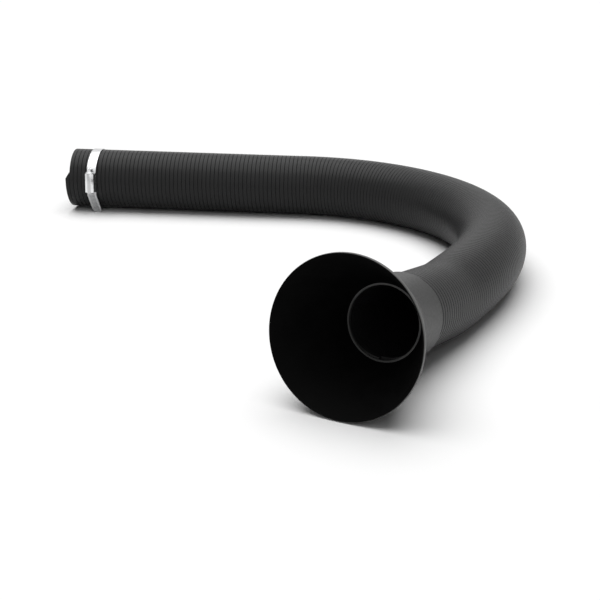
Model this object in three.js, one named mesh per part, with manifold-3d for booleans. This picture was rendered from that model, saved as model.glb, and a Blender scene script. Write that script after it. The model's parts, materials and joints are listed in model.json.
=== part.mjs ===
// Fume extraction arm: a stay-put hose wound from one strip, with a funnel on its free end and a
// worm-drive clamp on its duct end. It lies on a surface, bent to one side, with the funnel's rim down.
// Millimetres, +Z up. Along the hose, s is the distance from the duct end.
import * as THREE from "three";
import { mergeVertices } from "three/addons/utils/BufferGeometryUtils.js";
import Module from "manifold-3d";

const wasm = await Module();
wasm.setup();

// Fits
const CLEARANCE = 0.3;
const MERGE_DISTANCE = 1e-4;

// Hose section
const HOSE_DIAMETER = 75;
const HOSE_WALL = 4.5;
const RIB_DEPTH = 0.8;
const TURN_PITCH = 5.3;
const HOSE_SECTION_COUNT = 24;
const HOSE_SIDES = 10;

// Hose route at rest, as runs of its centre line
const STRAIGHT_RUN = 291;
const BEND_LEAD_IN = 27;
const BEND_ARC = 352;
const BEND_LEAD_OUT = 200;
const TAIL_RUN = 111;
const BEND_ANGLE = THREE.MathUtils.degToRad(111.3);
const LIFT_RUN = 48;
const SQUARE_RUN = 75;
const ROUTE_STEP = 0.5;
const STEEPEST_LIFT = THREE.MathUtils.degToRad(45);
const LIFT_TRIALS = 40;

// Funnel
const COLLAR_GRIP = 38;
const COLLAR_WALL = 1.6;
const THROAT_LIP = 2;
const CONE_LENGTH = 76.4;
const MOUTH_DIAMETER = 140;
const FUNNEL_WALL = 2.2;
const RIM_STAND = 0.8;
const RIM_LENGTH = 3;
const FUNNEL_SIDES = 48;

// Clamp
const CLAMP_PLACE = 35;
const BAND_WIDTH = 12;
const BAND_THICKNESS = 0.8;
const BAND_STEP = THREE.MathUtils.degToRad(7.5);
const BAND_RISE = THREE.MathUtils.degToRad(40);
const TAIL_WRAP = THREE.MathUtils.degToRad(8);
const TAIL_LENGTH = 23;
const TAIL_TAPER = 5;
const TAIL_TIP_WIDTH = 7;
const TAIL_SKEW = THREE.MathUtils.degToRad(18);
const HOUSING_ANGLE = THREE.MathUtils.degToRad(5);
const HOUSING_LENGTH = 24.5;
const HOUSING_WALL = 1.2;
const HOUSING_LEG = 0.9;
const SCREW_DIAMETER = 6.8;
const SCREW_TIP = 2;
const HEAD_WIDTH = 7;
const HEAD_HEIGHT = 5;
const HEAD_FLANGE = 5.2;
const FLANGE_HEIGHT = 1.2;
const ROUND_SIDES = 24;
const CUT_SIDES = 96;

// The hose has few sides, so its corners stand out far enough for the section to keep its true area.
const cornerShare = Math.sqrt((2 * Math.PI) / (HOSE_SIDES * Math.sin((2 * Math.PI) / HOSE_SIDES)));
const crestRadius = (HOSE_DIAMETER / 2) * cornerShare;
const valleyRadius = (HOSE_DIAMETER / 2 - RIB_DEPTH) * cornerShare;
const boreRadius = (HOSE_DIAMETER / 2 - HOSE_WALL) * cornerShare;

const freeLength = STRAIGHT_RUN + BEND_LEAD_IN + BEND_ARC + BEND_LEAD_OUT + TAIL_RUN;
const hoseLength = freeLength + COLLAR_GRIP;
const lengthStep = hoseLength / HOSE_SECTION_COUNT;
const turnsPerLength = Math.round(lengthStep / TURN_PITCH);

// The band lies on the pressed turns of the hose, and its tail lies on the band.
const bandInnerRadius = valleyRadius + CLEARANCE;
const bandOuterRadius = bandInnerRadius + BAND_THICKNESS;
const tailInnerRadius = bandOuterRadius + CLEARANCE;
const tailOuterRadius = tailInnerRadius + BAND_THICKNESS;
const housingHalfWidth = BAND_WIDTH / 2 + CLEARANCE + HOUSING_LEG;
const pressedHalfWidth = housingHalfWidth + lengthStep / turnsPerLength / 2 + CLEARANCE;

const smooth = (t) => THREE.MathUtils.smoothstep(t, 0, 1);

function painted(color, roughness, metalness) {
  return new THREE.MeshStandardMaterial({ color, roughness, metalness });
}
const hosePlastic = painted(0x26282b, 0.55, 0);
const funnelPlastic = painted(0x2c2d2e, 0.42, 0);
const clampSteel = painted(0xd8dadc, 0.28, 1);
const screwSteel = painted(0xb9bcc0, 0.34, 1);

// Solids for cuts and joins
function solidOf(geometry) {
  const bare = geometry.clone();
  bare.deleteAttribute("normal");
  bare.deleteAttribute("uv");
  const merged = mergeVertices(bare, MERGE_DISTANCE);
  return new wasm.Manifold(
    new wasm.Mesh({
      numProp: 3,
      vertProperties: new Float32Array(merged.attributes.position.array),
      triVerts: new Uint32Array(merged.index.array),
    }),
  );
}

function geometryOf(solid) {
  const mesh = solid.getMesh();
  const geometry = new THREE.BufferGeometry();
  geometry.setAttribute("position", new THREE.BufferAttribute(mesh.vertProperties, 3));
  geometry.setIndex(new THREE.BufferAttribute(mesh.triVerts, 1));
  geometry.computeVertexNormals();
  return geometry;
}

function named(name, geometry, material) {
  const mesh = new THREE.Mesh(geometry, material);
  mesh.name = name;
  return mesh;
}

// A closed tube of rings with equal counts of points, where the last ring meets the first.
function ringLoop(rings) {
  const count = rings[0].length;
  const index = [];
  for (let i = 0; i < rings.length; i++) {
    const next = (i + 1) % rings.length;
    for (let k = 0; k < count; k++) {
      const turn = (k + 1) % count;
      index.push(i * count + k, next * count + turn, next * count + k);
      index.push(i * count + k, i * count + turn, next * count + turn);
    }
  }
  const geometry = new THREE.BufferGeometry().setFromPoints(rings.flat());
  geometry.setIndex(index);
  geometry.computeVertexNormals();
  return geometry;
}

// Funnel profile, as distance from the collar's rear edge and radius
function funnelProfile() {
  const gripRadius = (valleyRadius + CLEARANCE) / Math.cos(Math.PI / FUNNEL_SIDES);
  const collarRadius = gripRadius + COLLAR_WALL;
  const throatRadius = HOSE_DIAMETER / 2 - THROAT_LIP;
  const seat = COLLAR_GRIP + CLEARANCE;
  const mouth = COLLAR_GRIP + CONE_LENGTH;
  const rimRadius = MOUTH_DIAMETER / 2;
  const coneEndRadius = rimRadius - RIM_STAND;
  const innerEndRadius = coneEndRadius - FUNNEL_WALL;
  const slope = (innerEndRadius - throatRadius) / (mouth - seat - FUNNEL_WALL);
  const coneStart = mouth - RIM_LENGTH - (coneEndRadius - collarRadius) / slope;
  return [
    [0, collarRadius],
    [coneStart, collarRadius],
    [mouth - RIM_LENGTH, coneEndRadius],
    [mouth - RIM_LENGTH, rimRadius],
    [mouth - RIM_STAND, rimRadius],
    [mouth, coneEndRadius],
    [mouth, innerEndRadius],
    [seat + FUNNEL_WALL, throatRadius],
    [seat, throatRadius],
    [seat, gripRadius],
    [0, gripRadius],
  ];
}

// Centre line of the hose for a given rise of the funnel's axis: it slopes down from the clamp, runs
// flat round the bend, then rises so that the last run is square to the collar.
function routeFor(lift) {
  const bendStart = STRAIGHT_RUN;
  const bendEnd = bendStart + BEND_LEAD_IN + BEND_ARC + BEND_LEAD_OUT;
  const tightest = BEND_ANGLE / (BEND_LEAD_IN / 2 + BEND_ARC + BEND_LEAD_OUT / 2);
  const settle = -Math.asin((bandOuterRadius - HOSE_DIAMETER / 2) / STRAIGHT_RUN);
  const liftStart = freeLength - SQUARE_RUN - LIFT_RUN;

  function curvatureAt(s) {
    const rising = (s - bendStart) / BEND_LEAD_IN;
    const falling = (bendEnd - s) / BEND_LEAD_OUT;
    return tightest * THREE.MathUtils.clamp(Math.min(rising, falling), 0, 1);
  }
  function pitchAt(s) {
    if (s < STRAIGHT_RUN) return settle;
    return lift * smooth((s - liftStart) / LIFT_RUN);
  }

  const count = Math.round(hoseLength / ROUTE_STEP);
  const step = hoseLength / count;
  const stations = [];
  const place = new THREE.Vector3(0, 0, bandOuterRadius);
  let heading = 0;
  for (let i = 0; i <= count; i++) {
    const middle = (i + 0.5) * step;
    stations.push({ place: place.clone(), heading, pitch: pitchAt(i * step) });
    heading -= (curvatureAt(middle) * step) / 2;
    place.add(direction(heading, pitchAt(middle)).multiplyScalar(step));
    heading -= (curvatureAt(middle) * step) / 2;
  }
  return { stations, step };
}

function direction(heading, pitch) {
  return new THREE.Vector3(
    Math.cos(pitch) * Math.cos(heading),
    Math.cos(pitch) * Math.sin(heading),
    Math.sin(pitch),
  );
}

// Place, forward, side and up of the hose at a distance s along it
function frameAt(route, s) {
  const at = THREE.MathUtils.clamp(s / route.step, 0, route.stations.length - 1);
  const low = Math.min(Math.floor(at), route.stations.length - 2);
  const [a, b] = [route.stations[low], route.stations[low + 1]];
  const share = at - low;
  const heading = THREE.MathUtils.lerp(a.heading, b.heading, share);
  const forward = direction(heading, THREE.MathUtils.lerp(a.pitch, b.pitch, share));
  const side = new THREE.Vector3(-Math.sin(heading), Math.cos(heading), 0);
  const up = new THREE.Vector3().crossVectors(forward, side);
  return { place: new THREE.Vector3().lerpVectors(a.place, b.place, share), forward, side, up };
}

function groupAt(frame) {
  const group = new THREE.Group();
  const turn = new THREE.Matrix4().makeBasis(frame.forward, frame.side, frame.up);
  group.quaternion.setFromRotationMatrix(turn);
  group.position.copy(frame.place);
  return group;
}

// The funnel's axis rises until the rim's lowest point lies on the surface that the hose lies on.
function restingLift() {
  let low = 0;
  let high = STEEPEST_LIFT;
  for (let i = 0; i < LIFT_TRIALS; i++) {
    const lift = (low + high) / 2;
    const collar = frameAt(routeFor(lift), freeLength).place;
    const heights = funnelProfile().map(([x, r]) => x * Math.sin(lift) - r * Math.cos(lift));
    if (collar.z + Math.min(...heights) < 0) low = lift;
    else high = lift;
  }
  return (low + high) / 2;
}

const route = routeFor(restingLift());

// Hose
function hoseRing(s, radius) {
  const frame = frameAt(route, s);
  const ring = [];
  for (let k = 0; k < HOSE_SIDES; k++) {
    const angle = ((k + 0.5) * 2 * Math.PI) / HOSE_SIDES;
    ring.push(
      frame.place
        .clone()
        .addScaledVector(frame.side, radius * Math.sin(angle))
        .addScaledVector(frame.up, -radius * Math.cos(angle)),
    );
  }
  return ring;
}

// The turns are pressed flat under the clamp and inside the collar.
function isPressed(s) {
  return Math.abs(s - CLAMP_PLACE) < pressedHalfWidth || s > freeLength - CLEARANCE;
}

function hosePiece(number) {
  const start = (number - 1) * lengthStep + CLEARANCE / 2;
  const end = number * lengthStep - CLEARANCE / 2;
  const steps = 2 * turnsPerLength;
  const rings = [];
  for (let i = 0; i <= steps; i++) {
    const s = THREE.MathUtils.lerp(start, end, i / steps);
    const isCrest = i % 2 === 1;
    if (isCrest && isPressed(s)) continue;
    rings.push(hoseRing(s, isCrest ? crestRadius : valleyRadius));
  }
  rings.push(hoseRing(end, boreRadius));
  rings.push(hoseRing(start, boreRadius));
  const geometry = ringLoop(rings);
  return named("hose_length_" + String(number).padStart(2, "0"), geometry, hosePlastic);
}

// The hose bends sideways before each even length, and up and down before each odd one.
function hingeBefore(number) {
  const frame = frameAt(route, (number - 1) * lengthStep);
  const isSideways = number % 2 === 0;
  return { place: frame.place, axis: isSideways ? frame.up : frame.side, isSideways };
}

function makeHose() {
  const hose = new THREE.Group();
  for (let number = 1; number <= HOSE_SECTION_COUNT; number++) {
    const piece = hosePiece(number);
    const isHeldByCollar = number === HOSE_SECTION_COUNT;
    if (number > 1 && !isHeldByCollar) piece.userData.hinge = hingeBefore(number);
    hose.add(piece);
  }
  return hose;
}

// Funnel
function makeFunnel() {
  const outline = funnelProfile().map(([x, r]) => new THREE.Vector2(r, x));
  const geometry = new THREE.LatheGeometry([...outline, outline[0]], FUNNEL_SIDES);
  geometry.rotateZ(-Math.PI / 2);
  const group = groupAt(frameAt(route, freeLength));
  group.add(named("funnel", geometry, funnelPlastic));
  return group;
}

// Clamp band: one strip from under the housing, once round the hose, over its own start and out of the
// housing as a free tail. Angles run round the hose from the housing, in the direction of the tail.
function bandSection(angle, inner, along = 0, width = BAND_WIDTH) {
  const around = HOUSING_ANGLE - angle;
  const tangent = new THREE.Vector3(0, -Math.sin(around), -Math.cos(around));
  const radial = new THREE.Vector3(0, -Math.cos(around), Math.sin(around));
  const shift = along * Math.tan(TAIL_SKEW);
  const section = [];
  for (const [x, r] of [
    [-width / 2, inner],
    [width / 2, inner],
    [width / 2, inner + BAND_THICKNESS],
    [-width / 2, inner + BAND_THICKNESS],
  ]) {
    const point = new THREE.Vector3(x + shift, 0, 0);
    section.push(point.addScaledVector(radial, r).addScaledVector(tangent, along));
  }
  return section;
}

function makeBand() {
  const housingHalfAngle = Math.asin(HOUSING_LENGTH / 2 / tailOuterRadius);
  const start = -housingHalfAngle;
  const riseEnd = 2 * Math.PI - housingHalfAngle - BAND_STEP;
  const wrapEnd = 2 * Math.PI + housingHalfAngle + TAIL_WRAP;
  const count = Math.ceil((wrapEnd - start) / BAND_STEP);
  const sections = [];
  for (let i = 0; i <= count; i++) {
    const angle = THREE.MathUtils.lerp(start, wrapEnd, i / count);
    const rise = smooth((angle - riseEnd + BAND_RISE) / BAND_RISE);
    sections.push(bandSection(angle, THREE.MathUtils.lerp(bandInnerRadius, tailInnerRadius, rise)));
  }
  sections.push(bandSection(wrapEnd, tailInnerRadius, TAIL_LENGTH - TAIL_TAPER));
  sections.push(bandSection(wrapEnd, tailInnerRadius, TAIL_LENGTH, TAIL_TIP_WIDTH));
  return named("clamp_band", stripOf(sections), clampSteel);
}

// A strip with closed ends through sections of four corners
function stripOf(sections) {
  const index = [];
  for (let i = 0; i + 1 < sections.length; i++) {
    for (let k = 0; k < 4; k++) {
      const turn = (k + 1) % 4;
      index.push(4 * i + k, 4 * i + turn, 4 * i + 4 + turn);
      index.push(4 * i + k, 4 * i + 4 + turn, 4 * i + 4 + k);
    }
  }
  const last = 4 * (sections.length - 1);
  index.push(0, 3, 2, 0, 2, 1);
  index.push(last, last + 1, last + 2, last, last + 2, last + 3);
  const geometry = new THREE.BufferGeometry().setFromPoints(sections.flat());
  geometry.setIndex(index);
  geometry.computeVertexNormals();
  return geometry;
}

// Housing and screw stand on the band: x along the hose, y along the screw, z away from the hose's axis.
const screwRadius = SCREW_DIAMETER / 2;
const screwAxisHeight = tailOuterRadius + CLEARANCE + screwRadius;
const screwBoreRadius = (screwRadius + CLEARANCE) / Math.cos(Math.PI / ROUND_SIDES);

function makeHousing() {
  const archRadius = screwBoreRadius + HOUSING_WALL;
  const deck = tailOuterRadius + CLEARANCE + HOUSING_LEG;
  const outline = new THREE.Shape();
  outline.moveTo(-housingHalfWidth, 0);
  outline.lineTo(housingHalfWidth, 0);
  outline.lineTo(housingHalfWidth, deck);
  outline.lineTo(archRadius, deck);
  outline.absarc(0, screwAxisHeight, archRadius, 0, Math.PI);
  outline.lineTo(-archRadius, deck);
  outline.lineTo(-housingHalfWidth, deck);
  const arch = new THREE.ExtrudeGeometry(outline, {
    depth: HOUSING_LENGTH,
    bevelEnabled: false,
    curveSegments: ROUND_SIDES / 2,
  });
  arch.rotateX(Math.PI / 2);
  arch.translate(0, HOUSING_LENGTH / 2, 0);

  const bandRoom = roundBar(tailOuterRadius + CLEARANCE, BAND_WIDTH + 2 * CLEARANCE, CUT_SIDES);
  bandRoom.rotateZ(Math.PI / 2);
  const hoseRoom = roundBar(bandInnerRadius, 2 * HOUSING_LENGTH, CUT_SIDES);
  hoseRoom.rotateZ(Math.PI / 2);
  const screwRoom = roundBar(screwBoreRadius, 2 * HOUSING_LENGTH, ROUND_SIDES);
  screwRoom.translate(0, 0, screwAxisHeight);

  const housing = solidOf(arch)
    .subtract(solidOf(bandRoom))
    .subtract(solidOf(hoseRoom))
    .subtract(solidOf(screwRoom));
  return named("clamp_housing", geometryOf(housing), clampSteel);
}

function roundBar(radius, length, sides) {
  return new THREE.CylinderGeometry(radius, radius, length, sides);
}

function makeScrew() {
  const headStart = HOUSING_LENGTH / 2 + CLEARANCE;
  const flangeEnd = headStart + FLANGE_HEIGHT;
  const tip = -HOUSING_LENGTH / 2 - SCREW_TIP;
  const profile = [
    [0, tip],
    [screwRadius - SCREW_TIP / 2, tip],
    [screwRadius, tip + SCREW_TIP],
    [screwRadius, headStart],
    [HEAD_FLANGE, headStart],
    [HEAD_FLANGE, flangeEnd],
    [0, flangeEnd],
  ];
  const outline = profile.map(([r, y]) => new THREE.Vector2(r, y));
  const shank = new THREE.LatheGeometry(outline, ROUND_SIDES);
  const cornerRadius = HEAD_WIDTH / 2 / Math.cos(Math.PI / 6);
  const head = roundBar(cornerRadius, HEAD_HEIGHT, 6);
  head.translate(0, flangeEnd + HEAD_HEIGHT / 2 - CLEARANCE, 0);
  const screw = named("clamp_screw", geometryOf(solidOf(shank).add(solidOf(head))), screwSteel);
  screw.position.z = screwAxisHeight;
  return screw;
}

function makeClamp() {
  const clamp = groupAt(frameAt(route, CLAMP_PLACE));
  clamp.add(makeBand());
  const drive = new THREE.Group();
  drive.rotation.x = Math.PI / 2 - HOUSING_ANGLE;
  drive.add(makeHousing(), makeScrew());
  clamp.add(drive);
  return clamp;
}

// The origin is the middle of the arm's outline on the surface that it lies on.
function makeArm() {
  const arm = new THREE.Group();
  arm.add(makeHose(), makeFunnel(), makeClamp());
  arm.updateMatrixWorld(true);
  const box = new THREE.Box3().setFromObject(arm, true);
  const middle = box.getCenter(new THREE.Vector3());
  arm.position.set(-middle.x, -middle.y, -box.min.z);
  return arm;
}

const part = new THREE.Group();
part.add(makeArm());

export default part;
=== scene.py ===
"""Dresses a fume extraction arm: a hose wound from one strip, a funnel and a worm-drive clamp."""

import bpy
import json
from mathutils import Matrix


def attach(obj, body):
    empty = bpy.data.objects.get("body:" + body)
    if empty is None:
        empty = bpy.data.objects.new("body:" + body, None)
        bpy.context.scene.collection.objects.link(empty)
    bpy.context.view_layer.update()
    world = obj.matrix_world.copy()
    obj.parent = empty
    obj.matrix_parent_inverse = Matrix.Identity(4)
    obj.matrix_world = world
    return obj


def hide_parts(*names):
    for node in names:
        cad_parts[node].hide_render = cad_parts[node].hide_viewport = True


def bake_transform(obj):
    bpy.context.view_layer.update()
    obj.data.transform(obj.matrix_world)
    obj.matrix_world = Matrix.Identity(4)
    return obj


bl_info = {
    "name": "Fume Extraction Arm",
    "version": (1, 0, 0),
    "blender": (4, 5, 0),
    "location": "3D View > Sidebar > Extraction Arm",
    "description": "Winds the hose, turns the funnel and forms the clamp of a fume extraction arm",
    "category": "Object",
}

import json
import math

import bpy
import numpy as np
from bpy.props import FloatProperty, FloatVectorProperty, IntProperty, PointerProperty
from mathutils import Matrix, Vector

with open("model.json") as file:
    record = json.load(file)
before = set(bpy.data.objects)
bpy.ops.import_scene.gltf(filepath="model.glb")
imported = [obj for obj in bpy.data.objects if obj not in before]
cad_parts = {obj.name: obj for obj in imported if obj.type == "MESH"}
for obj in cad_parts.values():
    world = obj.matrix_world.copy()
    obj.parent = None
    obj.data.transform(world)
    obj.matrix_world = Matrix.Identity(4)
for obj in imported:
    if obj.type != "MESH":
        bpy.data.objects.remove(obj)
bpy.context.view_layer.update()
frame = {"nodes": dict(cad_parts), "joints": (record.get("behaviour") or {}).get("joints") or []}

MM = 0.001

# The hose at rest, as runs of its centre line from the duct end
STRAIGHT_RUN = 291 * MM
BEND_LEAD_IN = 27 * MM
BEND_ARC = 352 * MM
BEND_LEAD_OUT = 200 * MM
TAIL_RUN = 111 * MM
COLLAR_GRIP = 38 * MM
BEND_ANGLE = math.radians(111.3)
LIFT_RUN = 48 * MM
SQUARE_RUN = 75 * MM
FUNNEL_LIFT = math.radians(8.6643)
ROUTE_STEP = 0.5 * MM
FREE_LENGTH = STRAIGHT_RUN + BEND_LEAD_IN + BEND_ARC + BEND_LEAD_OUT + TAIL_RUN
HOSE_LENGTH = FREE_LENGTH + COLLAR_GRIP

# The hinges and nodes of the frame
HOSE_NODES = sorted(name for name in frame["nodes"] if name.startswith("hose_length_"))
NODE_LENGTH = HOSE_LENGTH / len(HOSE_NODES)
HOSE_JOINTS = [joint for joint in frame["joints"] if joint["name"].startswith("bend_")]
SCREW_JOINT = next(joint for joint in frame["joints"] if joint["name"] == "screw_turn")

# Gaps between pieces that touch on the real arm
COLLAR_GAP = 0.15 * MM
BAND_GAP = 0.08 * MM
WORM_GAP = 0.3 * MM
HOUSING_GAP = 0.1 * MM


# Sizes and colours that a user would change


class HoseSettings(bpy.types.PropertyGroup):
    """The wound strip that the hose is made of."""

    diameter: FloatProperty(
        name="Diameter", description="Over the crests", default=75 * MM, unit="LENGTH")
    wall: FloatProperty(
        name="Wall", description="From crest to bore", default=4.5 * MM, unit="LENGTH")
    cover: FloatProperty(
        name="Cover", description="Thickness of a turn's outer half", default=1.8 * MM, unit="LENGTH")
    turns: FloatProperty(
        name="Turns", description="Turns of the strip from end to end", default=190.3278)
    start_angle: FloatProperty(
        name="Start angle", description="Where the strip starts at the duct end, seen along the hose",
        default=math.radians(148), subtype="ANGLE")
    cut_angle: FloatProperty(
        name="Cut angle", description="Where the slanted cut crosses the strip, seen along the hose",
        default=math.radians(163.5), subtype="ANGLE")
    cut_slant: FloatProperty(
        name="Cut slant", description="Slant of the strip's end from square",
        default=math.radians(60), subtype="ANGLE")
    edge_drop: FloatProperty(
        name="Edge drop", description="Fall of a turn at its rounded edges",
        default=0.36 * MM, unit="LENGTH")
    groove: FloatProperty(
        name="Groove", description="Gap between two turns", default=0.3 * MM, unit="LENGTH")
    hook: FloatProperty(
        name="Hook", description="Reach of a turn under the next", default=2.2 * MM, unit="LENGTH")
    spring: FloatProperty(
        name="Spring", description="How far the strip's end in the funnel springs into the bore",
        default=1.7 * MM, unit="LENGTH")
    steps: IntProperty(name="Steps", description="Steps in a turn", default=72)
    colour: FloatVectorProperty(
        name="Colour", description="Plastic of the hose",
        default=(0.0145, 0.0146, 0.0148), subtype="COLOR")
    worn: FloatVectorProperty(
        name="Worn", description="Where the turns rub", default=(0.02, 0.0202, 0.0206), subtype="COLOR")
    # The cut colour paints a highlight on the cut edge of the strip in the throat.
    cut: FloatVectorProperty(
        name="Cut", description="Cut edge in the throat", default=(0.04, 0.04, 0.04), subtype="COLOR")


class FunnelSettings(bpy.types.PropertyGroup):
    """The moulded funnel."""

    mouth: FloatProperty(
        name="Mouth", description="Diameter over the rim", default=140 * MM, unit="LENGTH")
    cone: FloatProperty(
        name="Cone", description="From the hose's end to the mouth", default=76.4 * MM, unit="LENGTH")
    lip: FloatProperty(
        name="Lip", description="Thickness of the cone at the mouth", default=1.2 * MM, unit="LENGTH")
    collar: FloatProperty(
        name="Collar", description="Length of the straight collar", default=43 * MM, unit="LENGTH")
    collar_wall: FloatProperty(
        name="Collar wall", description="Thickness of the collar", default=2.4 * MM, unit="LENGTH")
    seat: FloatProperty(
        name="Seat", description="From the collar's edge to the stop that the hose meets",
        default=35.1 * MM, unit="LENGTH")
    stop: FloatProperty(
        name="Stop", description="Thickness of the stop", default=1.5 * MM, unit="LENGTH")
    throat: FloatProperty(
        name="Throat", description="Diameter inside the stop", default=66 * MM, unit="LENGTH")
    stop_width: FloatProperty(
        name="Stop width", description="Width of the stop's ring", default=1.85 * MM, unit="LENGTH")
    rim: FloatProperty(
        name="Rim", description="Width of the bead round the mouth", default=4.5 * MM, unit="LENGTH")
    rim_stand: FloatProperty(
        name="Rim stand", description="How far the bead stands out", default=0.6 * MM, unit="LENGTH")
    steps: IntProperty(name="Steps", description="Steps round the funnel", default=192)
    colour: FloatVectorProperty(
        name="Colour", description="Plastic of the funnel",
        default=(0.0045, 0.0045, 0.0044), subtype="COLOR")
    # Rubbed edges at the collar's heel; the same colour paints highlights on the rim's bead and on the
    # stop.
    worn: FloatVectorProperty(
        name="Worn", description="Rubbed edges", default=(0.11, 0.11, 0.107), subtype="COLOR")
    # This colour paints the shade inside the cone and on the front of the lip, darker than the moulding.
    inside_shade: FloatVectorProperty(
        name="Lining", description="Matt inside", default=(0.0016, 0.0016, 0.0016), subtype="COLOR")


class ClampSettings(bpy.types.PropertyGroup):
    """The worm-drive clamp."""

    width: FloatProperty(name="Width", description="Width of the band", default=12 * MM, unit="LENGTH")
    thickness: FloatProperty(
        name="Thickness", description="Thickness of the band", default=0.8 * MM, unit="LENGTH")
    rise: FloatProperty(
        name="Rise", description="Angle over which the band climbs onto its own start",
        default=math.radians(40), subtype="ANGLE")
    wrap: FloatProperty(
        name="Wrap", description="Angle that the tail follows the hose past the housing",
        default=math.radians(8), subtype="ANGLE")
    tail: FloatProperty(
        name="Tail", description="Free length of the tail", default=26 * MM, unit="LENGTH")
    skew: FloatProperty(
        name="Skew", description="How far the tail leans along the hose",
        default=math.radians(9), subtype="ANGLE")
    slot: FloatProperty(
        name="Slot", description="Length of the slots for the worm", default=7 * MM, unit="LENGTH")
    slot_gap: FloatProperty(
        name="Slot gap", description="Width of the slots", default=0.8 * MM, unit="LENGTH")
    slot_pitch: FloatProperty(
        name="Slot pitch", description="Pitch of the slots and of the worm",
        default=2.2 * MM, unit="LENGTH")
    housing: FloatProperty(
        name="Housing", description="Length of the housing", default=24.5 * MM, unit="LENGTH")
    sheet: FloatProperty(
        name="Sheet", description="Thickness of the housing", default=0.7 * MM, unit="LENGTH")
    screw: FloatProperty(
        name="Screw", description="Diameter of the worm", default=6.8 * MM, unit="LENGTH")
    head: FloatProperty(
        name="Head", description="Hexagon head across flats", default=7 * MM, unit="LENGTH")
    head_height: FloatProperty(
        name="Head height", description="Height of the hexagon", default=4.7 * MM, unit="LENGTH")
    flange: FloatProperty(
        name="Flange", description="Diameter of the flange", default=10.4 * MM, unit="LENGTH")
    steel: FloatVectorProperty(
        name="Steel", description="Band", default=(0.5, 0.503, 0.507), subtype="COLOR")
    # The housing is the band's steel painted lighter, for its bright reflections.
    lit_steel: FloatVectorProperty(
        name="Pressed", description="Housing", default=(0.84, 0.845, 0.85), subtype="COLOR")
    plated: FloatVectorProperty(
        name="Plated", description="Screw", default=(0.78, 0.785, 0.79), subtype="COLOR")


class StageSettings(bpy.types.PropertyGroup):
    """Camera, lights and floor."""

    lens: FloatProperty(name="Lens", description="Focal length", default=75, subtype="DISTANCE_CAMERA")
    heading: FloatProperty(
        name="Heading", description="Direction of the view on the floor, from +X",
        default=math.radians(97.11), subtype="ANGLE")
    dip: FloatProperty(
        name="Dip", description="How far the view looks down",
        default=math.radians(19.27), subtype="ANGLE")
    camera: FloatVectorProperty(
        name="Camera", description="Place of the camera",
        default=(0.20717, -1.26108, 0.4324), subtype="XYZ")
    key: FloatProperty(name="Key", description="Strength of the overhead light", default=2.85)
    key_tilt: FloatProperty(
        name="Key tilt", description="From overhead", default=math.radians(7), subtype="ANGLE")
    key_bearing: FloatProperty(
        name="Key bearing", description="From behind the arm, clockwise seen from above",
        default=math.radians(310), subtype="ANGLE")
    key_width: FloatProperty(
        name="Key width", description="Apparent width of the overhead light",
        default=math.radians(70), subtype="ANGLE")
    front: FloatProperty(
        name="Front", description="Strength of the light on the camera's side", default=0.4)
    back: FloatProperty(name="Back", description="Strength of the light behind the arm", default=0.2)
    low_tilt: FloatProperty(
        name="Low tilt", description="Front and back light, from overhead",
        default=math.radians(55), subtype="ANGLE")
    low_width: FloatProperty(
        name="Low width", description="Apparent width of the front and back light",
        default=math.radians(50), subtype="ANGLE")
    fill: FloatProperty(name="Fill", description="Light from all round", default=0.03)
    floor: FloatVectorProperty(
        name="Floor", description="Colour of the floor", default=(1.0, 1.0, 1.0), subtype="COLOR")


# Route of the hose


def heading_vector(heading, pitch):
    return Vector((
        math.cos(pitch) * math.cos(heading),
        math.cos(pitch) * math.sin(heading),
        math.sin(pitch),
    ))


def eased(share):
    """A share from 0 to 1, made to start and end softly."""
    return share * share * (3 - 2 * share)


def route_stations():
    """Distance, place, heading and pitch along the centre line, where the first two hinges put it."""
    first, second = (Vector(joint["pos_m"]) for joint in HOSE_JOINTS[:2])
    settle = math.asin((second - first).normalized().z)
    tightest = BEND_ANGLE / (BEND_LEAD_IN / 2 + BEND_ARC + BEND_LEAD_OUT / 2)
    bend_end = STRAIGHT_RUN + BEND_LEAD_IN + BEND_ARC + BEND_LEAD_OUT
    lift_start = FREE_LENGTH - SQUARE_RUN - LIFT_RUN

    def curvature(s):
        share = min((s - STRAIGHT_RUN) / BEND_LEAD_IN, (bend_end - s) / BEND_LEAD_OUT)
        return tightest * min(max(share, 0), 1)

    def pitch(s):
        if s < STRAIGHT_RUN:
            return settle
        share = min(max((s - lift_start) / LIFT_RUN, 0), 1)
        return FUNNEL_LIFT * eased(share)

    count = round(HOSE_LENGTH / ROUTE_STEP)
    step = HOSE_LENGTH / count
    place = first - NODE_LENGTH * heading_vector(0, settle)
    heading = 0
    stations = []
    for i in range(count + 1):
        middle = (i + 0.5) * step
        stations.append((i * step, *place, heading, pitch(i * step)))
        heading -= curvature(middle) * step / 2
        place = place + step * heading_vector(heading, pitch(middle))
        heading -= curvature(middle) * step / 2
    return np.array(stations)


STATIONS = route_stations()


def route_at(s):
    """Place, heading and pitch of the centre line at one distance or at many."""
    return (np.interp(s, STATIONS[:, 0], STATIONS[:, i]) for i in range(1, 6))


def frame_at(s):
    """Matrix of the hose at a distance s: x runs along it, y to its left and z up."""
    x, y, z, heading, pitch = route_at(s)
    forward = heading_vector(heading, pitch)
    side = Vector((-math.sin(heading), math.cos(heading), 0))
    up = forward.cross(side)
    turn = Matrix((forward, side, up)).transposed()
    return Matrix.Translation((x, y, z)) @ turn.to_4x4()


def lay_on_route(piece):
    """Bend a straight piece, modelled along +X from the duct end, onto the route."""
    along, left, high = points_of(piece).T
    x, y, z, heading, pitch = route_at(along)
    over = along - np.clip(along, 0, HOSE_LENGTH)
    cos_h, sin_h, cos_p, sin_p = np.cos(heading), np.sin(heading), np.cos(pitch), np.sin(pitch)
    laid = np.stack((
        x + over * cos_p * cos_h - left * sin_h - high * sin_p * cos_h,
        y + over * cos_p * sin_h + left * cos_h - high * sin_p * sin_h,
        z + over * sin_p + high * cos_p,
    ), axis=1)
    move_points(piece, laid)


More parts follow.
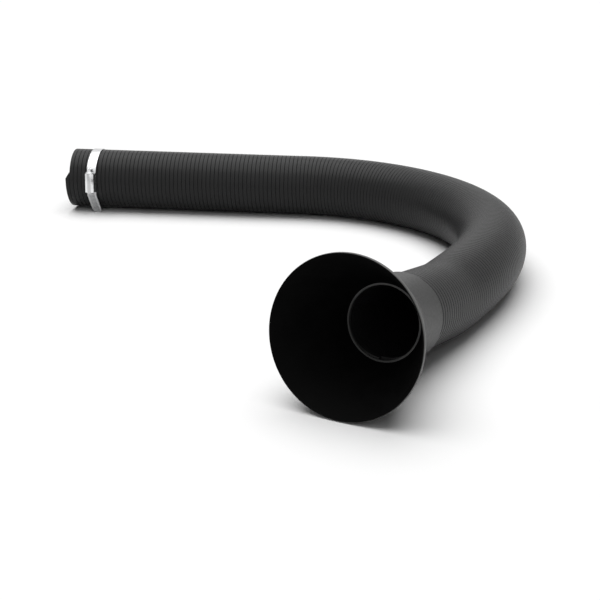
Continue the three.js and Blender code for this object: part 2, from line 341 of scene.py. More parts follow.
# The clamp sits where the screw's hinge is: its drive frame has x along the screw towards its head,
# y along the hose towards the duct and z away from the hose.
SCREW_PLACE = Vector(SCREW_JOINT["pos_m"])
SCREW_AXIS = Vector(SCREW_JOINT["axis"]).normalized()
CLAMP_PLACE = (frame_at(0).inverted() @ SCREW_PLACE).x
HOUSING_ANGLE = math.atan2(SCREW_AXIS.y, SCREW_AXIS.z)
SCREW_REACH = (SCREW_PLACE - frame_at(CLAMP_PLACE).translation).length


def drive_frame():
    back = -frame_at(CLAMP_PLACE).to_3x3().col[0]
    out = SCREW_AXIS.cross(back)
    return Matrix.Translation(SCREW_PLACE) @ Matrix((SCREW_AXIS, back, out)).transposed().to_4x4()


# Modelling steps that several pieces share


def deselect():
    bpy.ops.object.select_all(action="DESELECT")


def make_active(piece):
    deselect()
    piece.select_set(True)
    bpy.context.view_layer.objects.active = piece


def points_of(piece):
    co = np.empty(3 * len(piece.data.vertices))
    piece.data.vertices.foreach_get("co", co)
    return co.reshape(-1, 3)


def move_points(piece, points):
    piece.data.vertices.foreach_set("co", points.ravel())
    piece.data.update()


def edit_all(piece):
    """Enter edit mode with the whole piece selected."""
    make_active(piece)
    bpy.ops.object.mode_set(mode="EDIT")
    bpy.ops.mesh.select_all(action="SELECT")


def face_outwards():
    """Turn all faces outwards, and leave edit mode."""
    bpy.ops.mesh.select_all(action="SELECT")
    bpy.ops.mesh.normals_make_consistent(inside=False)
    bpy.ops.object.mode_set(mode="OBJECT")


def drawn_line(name, points, closed=True):
    """A line of edges, drawn corner by corner with the extrude tool."""
    deselect()
    bpy.ops.mesh.primitive_plane_add(size=MM)
    line = bpy.context.object
    line.name = line.data.name = name
    bpy.ops.object.mode_set(mode="EDIT")
    bpy.ops.mesh.merge(type="CENTER")
    bpy.ops.transform.translate(value=points[0])
    for here, there in zip(points, points[1:]):
        step = {"value": Vector(there) - Vector(here)}
        bpy.ops.mesh.extrude_region_move(TRANSFORM_OT_translate=step)
    if closed:
        bpy.ops.mesh.select_all(action="DESELECT")
        bpy.ops.object.mode_set(mode="OBJECT")
        line.data.vertices[0].select = True
        line.data.vertices[len(points) - 1].select = True
        bpy.ops.object.mode_set(mode="EDIT")
        bpy.ops.mesh.edge_face_add()
    bpy.ops.object.mode_set(mode="OBJECT")
    return line


def drawn_profile(name, outline):
    """A closed outline in the plane of X and Z."""
    return drawn_line(name, [(x, 0, z) for x, z in outline])


def pick_faces(piece, picked):
    """Select the faces of a mask, and leave the piece in edit mode."""
    make_active(piece)
    bpy.ops.object.mode_set(mode="EDIT")
    bpy.ops.mesh.select_mode(type="FACE")
    bpy.ops.mesh.select_all(action="DESELECT")
    bpy.ops.object.mode_set(mode="OBJECT")
    piece.data.polygons.foreach_set("select", picked)
    bpy.ops.object.mode_set(mode="EDIT")


def leave_faces():
    """Leave edit mode after faces were picked."""
    bpy.ops.mesh.select_mode(type="VERT")
    bpy.ops.object.mode_set(mode="OBJECT")


def face_means(piece, values):
    """Mean over each face of a value that its corners have."""
    return np.array([values[list(face.vertices)].mean() for face in piece.data.polygons])


def cut_off(piece, picked, place, normal, fill):
    """Cut the picked faces by a plane and take away what lies behind it."""
    pick_faces(piece, picked)
    bpy.ops.mesh.bisect(plane_co=place, plane_no=normal, use_fill=fill, clear_inner=True)
    leave_faces()


def own_copy(piece, name):
    copy = piece.copy()
    copy.data = piece.data.copy()
    copy.name = copy.data.name = name
    bpy.context.collection.objects.link(copy)
    return copy


def apply_modifiers(piece):
    make_active(piece)
    for modifier in list(piece.modifiers):
        bpy.ops.object.modifier_apply(modifier=modifier.name)


def screw_round(piece, turns, advance, steps):
    """Sweep an outline round the X axis, and along it on the way."""
    screw = piece.modifiers.new("Screw", "SCREW")
    screw.axis = "X"
    screw.angle = 2 * math.pi * turns
    screw.screw_offset = advance
    screw.iterations = 1
    screw.steps = screw.render_steps = steps
    screw.use_merge_vertices = False
    apply_modifiers(piece)


def spin_round(piece, steps):
    """Turn an outline once round the X axis."""
    edit_all(piece)
    bpy.ops.mesh.spin(steps=steps, angle=2 * math.pi, center=(0, 0, 0), axis=(1, 0, 0))
    bpy.ops.mesh.select_all(action="SELECT")
    bpy.ops.mesh.remove_doubles(threshold=0.01 * MM)
    face_outwards()


def close_ends(piece):
    edit_all(piece)
    bpy.ops.mesh.fill_holes(sides=0)
    face_outwards()


def take_away(piece, tool):
    """Cut a tool's shape out of a piece."""
    cut = piece.modifiers.new("Cut", "BOOLEAN")
    cut.operation = "DIFFERENCE"
    cut.solver = "EXACT"
    cut.object = tool
    apply_modifiers(piece)
    bpy.data.objects.remove(tool)


def round_bar(radius, depth, axis, place, vertices=96):
    """A cylinder to cut with."""
    turn = Vector((0, 0, 1)).rotation_difference(Vector(axis)).to_euler()
    deselect()
    bpy.ops.mesh.primitive_cylinder_add(
        vertices=vertices, radius=radius, depth=depth, location=place, rotation=turn)
    bpy.ops.object.transform_apply(location=True, rotation=True)
    return bpy.context.object


def bevel_edges(piece, width, segments=2, degrees=40):
    bevel = piece.modifiers.new("Bevel", "BEVEL")
    bevel.width = width
    bevel.segments = segments
    bevel.limit_method = "ANGLE"
    bevel.angle_limit = math.radians(degrees)
    apply_modifiers(piece)


def smooth_by_angle(piece, degrees):
    make_active(piece)
    bpy.ops.object.shade_smooth_by_angle(angle=math.radians(degrees))


def mark_points(piece, name, values):
    """Store a value at each point, for the material to read."""
    attribute = piece.data.attributes.new(name, "FLOAT", "POINT")
    attribute.data.foreach_set("value", values)


def marks_of(piece, name):
    values = np.empty(len(piece.data.vertices))
    piece.data.attributes[name].data.foreach_get("value", values)
    return values


def paint(piece, material):
    piece.data.materials.clear()
    piece.data.materials.append(material)


# Materials


def new_material(name):
    material = bpy.data.materials.new(name)
    material.use_nodes = True
    nodes = material.node_tree.nodes
    nodes.clear()
    output = nodes.new("ShaderNodeOutputMaterial")
    shader = nodes.new("ShaderNodeBsdfPrincipled")
    material.node_tree.links.new(shader.outputs[0], output.inputs[0])
    return material, material.node_tree, shader


def feed(tree, socket, value):
    """Set a socket to a value, or link it to another socket."""
    if isinstance(value, bpy.types.NodeSocket):
        tree.links.new(value, socket)
    else:
        socket.default_value = value


def add_node(tree, kind, settings=None, **inputs):
    """A node with its settings, and with its inputs set to values or linked to sockets."""
    node = tree.nodes.new("ShaderNode" + kind)
    for name, value in (settings or {}).items():
        setattr(node, name, value)
    for name, value in inputs.items():
        socket = int(name[1:]) if name[0] == "_" else name.replace("_", " ")
        feed(tree, node.inputs[socket], value)
    return node


def read_mark(tree, name):
    return add_node(tree, "Attribute", {"attribute_name": name}).outputs["Fac"]


def scaled(tree, value, factor):
    return add_node(tree, "Math", {"operation": "MULTIPLY"}, _0=value, _1=factor).outputs[0]


def larger(tree, first, second):
    return add_node(tree, "Math", {"operation": "MAXIMUM"}, _0=first, _1=second).outputs[0]


def ramped(tree, value, low, high, start=0.0, end=1.0):
    """Map the range from low to high onto start to end, and clamp it there."""
    inputs = {"From_Min": low, "From_Max": high, "To_Min": start, "To_Max": end}
    return add_node(tree, "MapRange", Value=value, **inputs).outputs["Result"]


def blended(tree, share, first, second):
    """Mix of two colours, each a value or a socket."""
    node = add_node(tree, "Mix", {"data_type": "RGBA"}, _0=share)
    for socket, colour in ((node.inputs[6], first), (node.inputs[7], second)):
        is_socket = isinstance(colour, bpy.types.NodeSocket)
        feed(tree, socket, colour if is_socket else (*colour, 1))
    return node.outputs[2]


def noise(tree, vector, scale, detail=3.0, roughness=0.55):
    return add_node(
        tree, "TexNoise", Vector=vector, Scale=scale, Detail=detail, Roughness=roughness).outputs["Fac"]


def object_place(tree, scale=(1, 1, 1)):
    place = add_node(tree, "TexCoord").outputs["Object"]
    return add_node(tree, "Mapping", Vector=place, Scale=scale).outputs["Vector"]


def grained(tree, scale, strength, depth):
    """Normal of a fine moulded grain."""
    fine = noise(tree, object_place(tree), scale, detail=2.0)
    return add_node(tree, "Bump", Strength=strength, Distance=depth, Height=fine).outputs[0]


def set_shader(tree, shader, **inputs):
    for name, value in inputs.items():
        feed(tree, shader.inputs[name.replace("_", " ")], value)


def hose_plastic(settings, pitch):
    """Extruded plastic with streaks along the strip, rubbed turns, and a cut edge in the throat painted
    paler as a highlight.
    """
    material, tree, shader = new_material("hose_plastic")
    winding, across = read_mark(tree, "winding"), read_mark(tree, "across")
    streak_length, streak_width = 14 * MM, 0.7 * MM
    lots_per_turn = 1.7
    strip = add_node(
        tree, "CombineXYZ",
        X=scaled(tree, winding, math.pi * settings.diameter / streak_length),
        Y=scaled(tree, across, pitch / streak_width))
    streaks = noise(tree, strip.outputs[0], 1.0, detail=4.0, roughness=0.6)
    lots = add_node(tree, "CombineXYZ", X=scaled(tree, winding, lots_per_turn)).outputs[0]
    lot = noise(tree, lots, 1.0, detail=2.0)
    rubbed = scaled(tree, ramped(tree, streaks, 0.42, 0.7), ramped(tree, lot, 0.35, 0.65))
    body = blended(tree, rubbed, settings.colour, settings.worn)
    # the cut edge is the tip of the hook, which lies past the strip's own pitch; it is painted paler as
    # a highlight
    cut_start, cut_end = 1.36, 1.38
    is_cut = ramped(tree, across, cut_start, cut_end)
    set_shader(
        tree, shader,
        Base_Color=blended(tree, is_cut, body, settings.cut),
        Roughness=ramped(tree, streaks, 0.3, 0.7, 0.34, 0.44),
        Normal=grained(tree, scale=1800.0, strength=0.12, depth=0.04 * MM),
        Specular_IOR_Level=0.145)
    return material


def funnel_plastic(settings):
    """Satin moulding, paler where its edges are rubbed at the collar's heel, and painted paler on the
    rim's bead and on the stop as highlights.
    """
    material, tree, shader = new_material("funnel_plastic")
    patches = noise(tree, object_place(tree), 45.0, detail=4.0, roughness=0.6)
    scuffs = noise(tree, object_place(tree), 420.0, detail=3.0)
    # painted highlights on the bead and the stop, and real wear at the collar's heel
    wear_and_highlight = scaled(tree, read_mark(tree, "wear_and_highlight"), ramped(tree, patches, 0.25, 0.6, 0.55, 1.0))
    set_shader(
        tree, shader,
        Base_Color=blended(tree, wear_and_highlight, settings.colour, settings.worn),
        Roughness=ramped(tree, scuffs, 0.3, 0.7, 0.33, 0.42),
        Normal=grained(tree, scale=2400.0, strength=0.15, depth=0.05 * MM),
        Specular_IOR_Level=0.3)
    return material


def funnel_inside_shade(settings):
    """Matt inside of the funnel, in a colour painted darker than the moulding as the shade inside the
    cone and on the lip's front.
    """
    material, tree, shader = new_material("funnel_inside_shade")
    patches = noise(tree, object_place(tree), 60.0, detail=4.0, roughness=0.6)
    dusty = tuple(1.8 * part for part in settings.inside_shade)
    set_shader(
        tree, shader,
        Base_Color=blended(tree, ramped(tree, patches, 0.4, 0.7), settings.inside_shade, dusty),
        Roughness=ramped(tree, patches, 0.3, 0.7, 0.6, 0.75),
        Normal=grained(tree, scale=1500.0, strength=0.2, depth=0.08 * MM),
        Specular_IOR_Level=0.03)
    return material


def rolled_steel(name, colour, smoothest, roughest):
    """Bright steel with rolling marks that run round the hose."""
    material, tree, shader = new_material(name)
    marks_across, marks_along = 2600, 70
    rolling = object_place(tree, (marks_across, marks_along, marks_along))
    marks = noise(tree, rolling, 1.0, detail=4.0, roughness=0.65)
    smudges = noise(tree, object_place(tree), 160.0, detail=3.0)
    # Smudges are real stains; the mark read from the housing paints shade on its crown, and both darken
    # the steel to one colour.
    smudge_and_shade_colour = tuple(0.62 * part for part in colour)
    stained = ramped(tree, smudges, 0.45, 0.7, 0.0, 0.4)
    smudge_and_shade = larger(tree, stained, read_mark(tree, "smudge_and_shade"))
    bump = add_node(tree, "Bump", Strength=0.1, Distance=0.03 * MM, Height=marks)
    set_shader(
        tree, shader,
        Base_Color=blended(tree, smudge_and_shade, colour, smudge_and_shade_colour),
        Roughness=ramped(tree, marks, 0.3, 0.7, smoothest, roughest),
        Normal=bump.outputs[0],
        Metallic=1.0)
    return material


# Operators


class ARM_OT_stage(bpy.types.Operator):
    """Set the camera, the lights and the floor"""

    bl_idname = "arm.stage"
    bl_label = "Stage"

    def execute(self, context):
        settings = context.scene.arm_stage
        context.scene.view_settings.view_transform = "Standard"
        self.add_camera(context, settings)
        self.add_lights(context, settings)
        self.add_world(context, settings)
        self.add_floor(context, settings)
        return {"FINISHED"}

    def add_camera(self, context, settings):
        deselect()
        view = heading_vector(settings.heading, -settings.dip)
        bpy.ops.object.camera_add(
            location=settings.camera, rotation=view.to_track_quat("-Z", "Y").to_euler())
        camera = context.object
        camera.name = "camera"
        camera.data.sensor_width = 36
        camera.data.lens = settings.lens
        context.scene.camera = camera

    def add_lights(self, context, settings):
        distance = 2
        lamps = (
            ("key_light", settings.key, settings.key_width, settings.key_tilt, settings.key_bearing),
            ("front_light", settings.front, settings.low_width, settings.low_tilt, math.pi),
            ("back_light", settings.back, settings.low_width, settings.low_tilt, 0),
        )
        for name, strength, width, tilt, bearing in lamps:
            towards = heading_vector(settings.heading - bearing, math.pi / 2 - tilt)
            turn = towards.to_track_quat("Z", "Y").to_euler()
            deselect()
            bpy.ops.object.light_add(type="SUN", location=distance * towards, rotation=turn)
            lamp = context.object
            lamp.name = name
            lamp.data.energy = strength
            lamp.data.angle = width

    def add_world(self, context, settings):
        world = bpy.data.worlds.new("studio")
        context.scene.world = world
        world.use_nodes = True
        tree = world.node_tree
        tree.nodes.clear()
        rays = add_node(tree, "LightPath").outputs
        seen = larger(tree, rays["Is Camera Ray"], rays["Is Glossy Ray"])
        shown = larger(tree, seen, rays["Is Transmission Ray"])
        level = ramped(tree, shown, 0.0, 1.0, settings.fill, 1.0)
        glow = add_node(tree, "Background", Strength=level)
        add_node(tree, "OutputWorld", Surface=glow.outputs[0])

    def add_floor(self, context, settings):
        size = 40
        drop = 0.2 * MM
        deselect()
        bpy.ops.mesh.primitive_plane_add(size=size, location=(0, 0, -drop))
        floor = context.object
        floor.name = "floor"
        bpy.ops.object.transform_apply(location=True)
        material, tree, shader = new_material("floor_paper")
        set_shader(
            tree, shader, Base_Color=(*settings.floor, 1), Roughness=1.0, Specular_IOR_Level=0.0)
        paint(floor, material)


class ARM_OT_hose(bpy.types.Operator):
    """Wind the hose from one strip, in one length for each hinge"""

    bl_idname = "arm.hose"
    bl_label = "Hose"

    def execute(self, context):
        settings = context.scene.arm_hose
        seat = FREE_LENGTH + context.scene.arm_funnel.seat
        # the strip is one pitch wide, and its hook reaches on to the funnel's stop
        pitch = (seat - settings.hook) / (settings.turns + 1)
        outline = self.strip_outline(settings, pitch)
        section = drawn_profile("strip_section", outline)
        material = hose_plastic(settings, pitch)
        # each seam lies half a length past a hinge, at the bottom of the hose
        to_bottom = (math.radians(270) - settings.start_angle) / (2 * math.pi)
        turns_per_node = round(NODE_LENGTH / pitch)
        first_seam = round(1.5 * NODE_LENGTH / pitch) - 1 + to_bottom
        seams = [first_seam + turns_per_node * i for i in range(len(HOSE_JOINTS) - 1)]
        cuts = [0, *seams, settings.turns]
        for number, joint in enumerate(HOSE_JOINTS, 1):
            piece = own_copy(section, f"hose_turns_{number:02d}")
            self.wind(piece, settings, pitch, outline, cuts[number - 1], cuts[number])
            if number == 1:
                self.slant_start(piece, settings, pitch)
            if joint is HOSE_JOINTS[-1]:
                self.spring_end(piece, settings)
            lay_on_route(piece)
            smooth_by_angle(piece, 40)
            paint(piece, material)
            self.join_bodies(piece, joint, number)
        bpy.data.objects.remove(section)
        return {"FINISHED"}

    @staticmethod
    def strip_outline(settings, pitch):
        """The strip's S section: an outer half, and an inner half that reaches under the next turn."""
        radius = settings.diameter / 2
        bore = radius - settings.wall
        left, right = settings.groove / 2, pitch - settings.groove / 2
        drop = settings.edge_drop
        under = radius - settings.cover
        over = under - settings.groove / 2
        tip = right + settings.hook
        heel = tip - pitch + settings.groove
        nick = 0.25 * MM
        rounding = ((0, 1), (0.35, 0.4), (1, 0.12), (2.2, 0.02))
        return [
            (left, under),
            *((left + inward * drop, radius - fall * drop) for inward, fall in rounding),
            (pitch / 2, radius),
            *((right - inward * drop, radius - fall * drop) for inward, fall in reversed(rounding)),
            (right, over),
            (tip, over),
            (tip, bore + nick),
            (tip - nick, bore),
            (heel + nick, bore),
            (heel, bore + nick),
            (heel, under),
        ]

    @staticmethod
    def wind(piece, settings, pitch, outline, first, last):
        """Wind one length, and mark each point with its turn and its place across the strip."""
        # the outline stands on +Z, which is a quarter turn on from the side that angles count from
        start = settings.start_angle + 2 * math.pi * first - math.pi / 2
        piece.data.transform(Matrix.Rotation(start, 4, "X"))
        piece.data.transform(Matrix.Translation((first * pitch, 0, 0)))
        turns = last - first
        steps = round(settings.steps * turns)
        screw_round(piece, turns, turns * pitch, steps)
        ring = np.repeat(np.arange(steps + 1), len(outline))
        across = np.tile([x / pitch for x, _ in outline], steps + 1)
        mark_points(piece, "winding", first + turns * ring / steps)
        mark_points(piece, "across", across)
        close_ends(piece)

    @staticmethod
    def slant_start(piece, settings, pitch):
        """Cut the strip's end off on a slant, as with shears."""
        angle = settings.cut_angle
        radial = Vector((0, math.cos(angle), math.sin(angle)))
        round_way = Vector((0, -math.sin(angle), math.cos(angle)))
        along_way = Vector((1, 0, 0))
        turned = (angle - settings.start_angle) / (2 * math.pi)
        place = settings.diameter / 2 * radial + pitch * (turned + 0.5) * along_way
        normal = math.cos(settings.cut_slant) * round_way + math.sin(settings.cut_slant) * along_way
        near_end = 3 * turned
        is_near = face_means(piece, marks_of(piece, "winding")) < near_end
        cut_off(piece, is_near, place, normal, fill=True)

    @staticmethod
    def spring_end(piece, settings):
        """Let the inner half of the last turns spring into the bore near the strip's end."""
        spread = 0.16
        sprung_turns = 1.5
        below_cover = 1 * MM
        from_end = settings.turns - marks_of(piece, "winding")
        away = abs(from_end - np.round(from_end)) / spread
        share = np.clip(1 - away, 0, 1) * (from_end < sprung_turns)
        points = points_of(piece)
        radius = np.hypot(points[:, 1], points[:, 2])
        is_inner = radius < settings.diameter / 2 - settings.cover - below_cover
        sprung = is_inner * settings.spring * eased(share)
        points[:, 1:] *= (1 - sprung / radius)[:, None]
        move_points(piece, points)

    @staticmethod
    def join_bodies(piece, joint, number):
        """Bake the length in place, and hide the nodes that it stands for."""
        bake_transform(piece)
        last = len(HOSE_NODES) if joint is HOSE_JOINTS[-1] else number
        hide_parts(*HOSE_NODES[number - 1:last])


class ARM_OT_funnel(bpy.types.Operator):
    """Turn the funnel with its collar and rim"""

    bl_idname = "arm.funnel"
    bl_label = "Funnel"

    def execute(self, context):
        settings = context.scene.arm_funnel
        hose = context.scene.arm_hose
        grip = hose.diameter / 2 + COLLAR_GAP
        collar = grip + settings.collar_wall
        throat = settings.throat / 2
        ring = throat + settings.stop_width
        front = settings.seat + settings.stop
        mouth = COLLAR_GRIP + settings.cone
        rim = settings.mouth / 2
        outer = rim - settings.rim_stand
        bead = mouth - settings.rim
        slope = (outer - collar) / (bead - settings.collar)
        outline = [
            (0.6 * MM, collar),
            (settings.collar - 3 * MM, collar),
            (settings.collar, collar + 0.35 * MM),
            (settings.collar + 3 * MM, collar + 3 * MM * slope),
            (bead - 0.6 * MM, outer - 0.6 * MM * slope),
            (bead, outer + 0.15 * MM),
            (bead + 0.5 * MM, rim - 0.2 * MM),
            (bead + 1.2 * MM, rim - 0.02 * MM),
            (mouth - 1.2 * MM, rim),
            (mouth - 0.6 * MM, rim - 0.12 * MM),
            (mouth - 0.15 * MM, rim - 0.4 * MM),
            (mouth, rim - 0.75 * MM),
            (mouth - 0.25 * MM, rim - settings.lip),
            (front + 0.4 * MM, ring + 0.15 * MM),
            (front, ring),
            (front, throat + 0.2 * MM),
            (front - 0.2 * MM, throat),
            (settings.seat + 0.2 * MM, throat),
            (settings.seat, throat + 0.2 * MM),
            (settings.seat, grip),
            (0.4 * MM, grip),
            (0, grip + 0.4 * MM),
            (0, collar - 0.6 * MM),
        ]
        piece = drawn_profile("funnel_moulding", outline)
        spin_round(piece, settings.steps)
        along, left, high = points_of(piece).T
        radius = np.hypot(left, high)
        # The bead and the stop are painted paler as highlights; the collar's heel is paler from real
        # wear.
        on_bead = (along > bead + 0.4 * MM) & (radius > rim - 0.3 * MM)
        on_stop = (abs(along - front) < 0.05 * MM) & (radius < ring + 0.1 * MM)
        heel = np.clip(1 - along / (0.7 * MM), 0, 1)
        bead_highlight, stop_highlight, heel_wear = 0.9, 0.6, 0.4
        mark_points(piece, "wear_and_highlight", bead_highlight * on_bead + stop_highlight * on_stop + heel_wear * heel)
        self.paint_inside_shade(piece, front, mouth, settings)
        piece.data.transform(frame_at(FREE_LENGTH))
        smooth_by_angle(piece, 40)
        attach(piece, "funnel_end")
        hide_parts("funnel")
        return {"FINISHED"}

    @staticmethod
    def paint_inside_shade(piece, front, mouth, settings):
        """Give the cone's inside and the front of its lip the matt finish, in a colour painted darker as
        shade.
        """
        paint(piece, funnel_plastic(settings))
        piece.data.materials.append(funnel_inside_shade(settings))
        faces = piece.data.polygons
        depth = np.array([face.center.x for face in faces])
        inward = np.array([face.center.yz.dot(face.normal.yz) < 0 for face in faces])
        in_cone = (depth > front + 0.1 * MM) & inward
        on_lip = depth > mouth - 0.3 * MM
        pick_faces(piece, in_cone | on_lip)
        piece.active_material_index = 1
        bpy.ops.object.material_slot_assign()
        leave_faces()


class ARM_OT_clamp_band(bpy.types.Operator):
    """Form the clamp's band: once round the hose, over its own start and out as a slotted tail"""

    bl_idname = "arm.clamp_band"
    bl_label = "Clamp Band"

    def execute(self, context):
        settings = context.scene.arm_clamp
        whole_rows = 5
        points, plain_rows = self.strip_points(settings, context.scene.arm_hose)
        band = drawn_line("clamp_band_strip", points, closed=False)
        mark_points(band, "row", np.arange(len(points)))
        side = (settings.width - settings.slot) / 2
        band.data.transform(Matrix.Translation((-settings.width / 2, 0, 0)))
        for step in (side, settings.slot, side):
            self.widen(band, step)
        shift = np.array([point[0] for point in points])
        self.punch(band, shift, plain_rows, len(points) - whole_rows)
        self.shear_corners(band, points, settings)
        wall = band.modifiers.new("Wall", "SOLIDIFY")
        wall.thickness = settings.thickness
        wall.offset = 0
        wall.use_even_offset = True
        apply_modifiers(band)
        bevel_edges(band, 0.18 * MM)
        band.data.transform(frame_at(CLAMP_PLACE))
        smooth_by_angle(band, 35)
        paint(band, rolled_steel("clamp_steel", settings.steel, smoothest=0.3, roughest=0.42))
        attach(band, "duct_end")
        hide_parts("clamp_band")
        return {"FINISHED"}

    def strip_points(self, settings, hose):
        """Points of the band's middle line, and how many of them come before the slots."""
        plain_steps = 140
        slots_lead = 1 * MM
        low = hose.diameter / 2 + BAND_GAP + settings.thickness / 2
        high = SCREW_REACH - settings.screw / 2 - WORM_GAP - settings.thickness / 2
        half = math.asin(settings.housing / 2 / high)
        climb_end = 2 * math.pi - half
        slots_start = climb_end - slots_lead / high
        wrap_end = 2 * math.pi + half + settings.wrap
        plain = np.linspace(-half, slots_start, plain_steps, endpoint=False)
        bend = (wrap_end - slots_start) * high
        starts = np.arange(0, bend + settings.tail, settings.slot_pitch)
        edges = np.sort((*starts, *(starts + settings.slot_gap)))
        slotted = slots_start + edges[edges < bend] / high
        free = edges[edges >= bend] - bend
        points = [self.round_point(a, low, high, climb_end, settings) for a in (*plain, *slotted)]
        points += [self.tail_point(wrap_end, high, along, settings) for along in free]
        return points, plain_steps

    @staticmethod
    def round_point(angle, low, high, climb_end, settings):
        share = min(max((angle - climb_end + settings.rise) / settings.rise, 0), 1)
        radius = low + (high - low) * eased(share)
        around = HOUSING_ANGLE - angle
        return (0, -radius * math.cos(around), radius * math.sin(around))

    @staticmethod
    def tail_point(angle, radius, along, settings):
        around = HOUSING_ANGLE - angle
        radial = Vector((0, -math.cos(around), math.sin(around)))
        onward = Vector((math.tan(settings.skew), -math.sin(around), -math.cos(around)))
        return tuple(float(radius) * radial + float(along) * onward)

    @staticmethod
    def widen(band, step):
        """Draw the last line of the strip out along the hose."""
        make_active(band)
        bpy.ops.object.mode_set(mode="EDIT")
        if not band.data.polygons:
            bpy.ops.mesh.select_all(action="SELECT")
        bpy.ops.mesh.extrude_region_move(TRANSFORM_OT_translate={"value": (step, 0, 0)})
        bpy.ops.object.mode_set(mode="OBJECT")

    @staticmethod
    def punch(band, shift, first, last):
        """Take every other face out of the middle column, between two rows."""
        row = face_means(band, marks_of(band, "row"))
        middle = np.interp(row, np.arange(len(shift)), shift)
        off_middle = face_means(band, points_of(band)[:, 0]) - middle
        is_slot = (np.floor(row) % 2 == 0) & (row > first) & (row < last)
        pick_faces(band, is_slot & (abs(off_middle) < 1 * MM))
        bpy.ops.mesh.delete(type="ONLY_FACE")
        leave_faces()

    @staticmethod
    def shear_corners(band, points, settings):
        """Cut both corners off the tail's end."""
        tip_half_width = 0.27 * settings.width
        steepness = 0.75
        reach = 8 * MM
        below = -20 * MM
        end, before = Vector(points[-1]), Vector(points[-2])
        onward = (end - before).normalized()
        across = Vector((1, 0, 0))
        for sign in (-1, 1):
            place = end + sign * tip_half_width * across
            normal = -(sign * across + steepness * onward).normalized()
            past_end = face_means(band, (points_of(band) - np.array(end)) @ np.array(onward))
            is_low = face_means(band, points_of(band)[:, 2]) < below
            cut_off(band, (past_end > -reach) & is_low, place, normal, fill=False)


class ARM_OT_clamp_housing(bpy.types.Operator):
    """Press the clamp's housing: an arch over the screw, with feet beside the band"""

    bl_idname = "arm.clamp_housing"
    bl_label = "Clamp Housing"

    def execute(self, context):
        settings = context.scene.arm_clamp
        hose = context.scene.arm_hose
        bar_length = 60 * MM
        toe_radius = 30 * MM
        shade_depth = 0.6 * MM
        room = settings.screw / 2 + WORM_GAP
        arch = room + settings.sheet
        foot = settings.width / 2 + 0.5 * MM
        deck = -settings.screw / 2 + settings.sheet
        toe = -SCREW_REACH + toe_radius
        right = [
            (foot, toe),
            (foot, deck),
            (foot - 0.2 * MM, deck + 0.4 * MM),
            (foot - 0.9 * MM, arch - 2.3 * MM),
            (foot - 1.1 * MM, arch - 1.8 * MM),
            (foot - 1.5 * MM, arch - 1.4 * MM),
            (2.8 * MM, arch - 0.5 * MM),
            (1.7 * MM, arch),
        ]
        outline = right + [(-y, z) for y, z in reversed(right)]
        half = settings.housing / 2
        housing = drawn_line("clamp_housing_pressing", [(-half, y, z) for y, z in outline])
        edit_all(housing)
        bpy.ops.mesh.edge_face_add()
        bpy.ops.mesh.extrude_region_move(TRANSFORM_OT_translate={"value": (settings.housing, 0, 0)})
        face_outwards()
        hose_axis = (0, 0, -SCREW_REACH)
        along_hose, along_screw = (0, 1, 0), (1, 0, 0)
        band_room = SCREW_REACH - settings.screw / 2 - HOUSING_GAP
        hose_room = hose.diameter / 2 + HOUSING_GAP
        take_away(housing, round_bar(band_room, settings.width + 2 * HOUSING_GAP, along_hose, hose_axis))
        take_away(housing, round_bar(hose_room, bar_length, along_hose, hose_axis))
        take_away(housing, round_bar(room, bar_length, along_screw, (0, 0, 0), vertices=48))
        bevel_edges(housing, 0.22 * MM)
        # The crown of the arch is painted darker as shade, a grey middle between the housing's bright
        # sides.
        high = points_of(housing)[:, 2]
        mark_points(housing, "smudge_and_shade", np.clip((high - arch + shade_depth) / shade_depth, 0, 1))
        housing.data.transform(drive_frame())
        smooth_by_angle(housing, 35)
        # the housing's steel is painted lighter than the band's, for its bright reflections
        paint(housing, rolled_steel("housing_steel", settings.lit_steel, smoothest=0.16, roughest=0.28))
        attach(housing, "duct_end")
        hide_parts("clamp_housing")
        return {"FINISHED"}


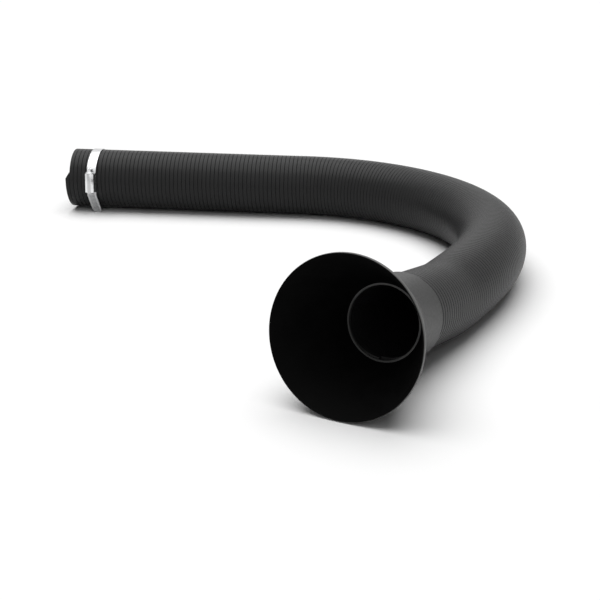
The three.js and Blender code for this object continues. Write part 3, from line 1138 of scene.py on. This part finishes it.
class ARM_OT_clamp_screw(bpy.types.Operator):
    """Turn the clamp's screw: a worm with a slotted hexagon head"""

    bl_idname = "arm.clamp_screw"
    bl_label = "Clamp Screw"

    def execute(self, context):
        settings = context.scene.arm_clamp
        half = settings.housing / 2
        tooth = settings.screw / 2
        core = tooth - 0.75 * MM
        root = core - 0.2 * MM
        off_axis = 0.1 * MM
        tip = -half - 2 * MM
        flange_start = half + WORM_GAP
        flange_end = flange_start + 1.2 * MM
        flange = settings.flange / 2
        shank = drawn_profile("clamp_screw_worm", [
            (tip, off_axis),
            (tip, core - 0.8 * MM),
            (tip + 0.8 * MM, core),
            (flange_start, core),
            (flange_start, flange - 0.2 * MM),
            (flange_start + 0.3 * MM, flange),
            (flange_end - 0.3 * MM, flange),
            (flange_end, flange - 0.4 * MM),
            (flange_end, off_axis),
        ])
        spin_round(shank, steps=48)

        start = tip + 0.6 * MM
        thread = drawn_profile("thread", [
            (start, root),
            (start + 0.5 * MM, tooth),
            (start + 0.8 * MM, tooth),
            (start + 1.3 * MM, root),
        ])
        steps_per_turn = 36
        lead = settings.slot_pitch
        turns = (settings.housing + 0.2 * MM) / lead
        screw_round(thread, turns, turns * lead, round(steps_per_turn * turns))
        close_ends(thread)

        head = self.hexagon(settings, flange_end)
        deselect()
        for part in (head, thread, shank):
            part.select_set(True)
        context.view_layer.objects.active = shank
        bpy.ops.object.join()
        shank.data.transform(drive_frame())
        smooth_by_angle(shank, 35)
        paint(shank, rolled_steel("screw_steel", settings.plated, smoothest=0.2, roughest=0.32))
        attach(shank, "clamp_screw")
        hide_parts("clamp_screw")
        return {"FINISHED"}

    @staticmethod
    def hexagon(settings, start):
        """The head, with a slot for a screwdriver across it."""
        slot_depth, slot_width, slot_length = 1.7 * MM, 1.2 * MM, 20 * MM
        head = round_bar(
            settings.head / math.sqrt(3), settings.head_height, (1, 0, 0),
            (start + settings.head_height / 2, 0, 0), vertices=6)
        deselect()
        bpy.ops.mesh.primitive_cube_add(size=1)
        slot = bpy.context.object
        slot.dimensions = (2 * slot_depth, slot_width, slot_length)
        slot.location = (start + settings.head_height, 0, 0)
        bpy.ops.object.transform_apply(location=True, scale=True)
        take_away(head, slot)
        bevel_edges(head, 0.3 * MM)
        return head


class ARM_PT_sidebar(bpy.types.Panel):
    """Lists the steps that build the arm."""

    bl_idname = "ARM_PT_sidebar"
    bl_label = "Extraction Arm"
    bl_space_type = "VIEW_3D"
    bl_region_type = "UI"
    bl_category = "Extraction Arm"

    def draw(self, context):
        for operator in OPERATORS:
            self.layout.operator(operator.bl_idname)


SETTINGS = {
    "arm_hose": HoseSettings,
    "arm_funnel": FunnelSettings,
    "arm_clamp": ClampSettings,
    "arm_stage": StageSettings,
}
OPERATORS = (
    ARM_OT_stage,
    ARM_OT_hose,
    ARM_OT_funnel,
    ARM_OT_clamp_band,
    ARM_OT_clamp_housing,
    ARM_OT_clamp_screw,
)
CLASSES = (*SETTINGS.values(), *OPERATORS, ARM_PT_sidebar)


def register():
    for cls in CLASSES:
        bpy.utils.register_class(cls)
    for name, group in SETTINGS.items():
        setattr(bpy.types.Scene, name, PointerProperty(type=group))


def unregister():
    for name in SETTINGS:
        delattr(bpy.types.Scene, name)
    for cls in reversed(CLASSES):
        bpy.utils.unregister_class(cls)


def main():
    register()
    bpy.ops.arm.stage()
    bpy.ops.arm.hose()
    bpy.ops.arm.funnel()
    bpy.ops.arm.clamp_band()
    bpy.ops.arm.clamp_housing()
    bpy.ops.arm.clamp_screw()


if __name__ == "__main__":
    main()
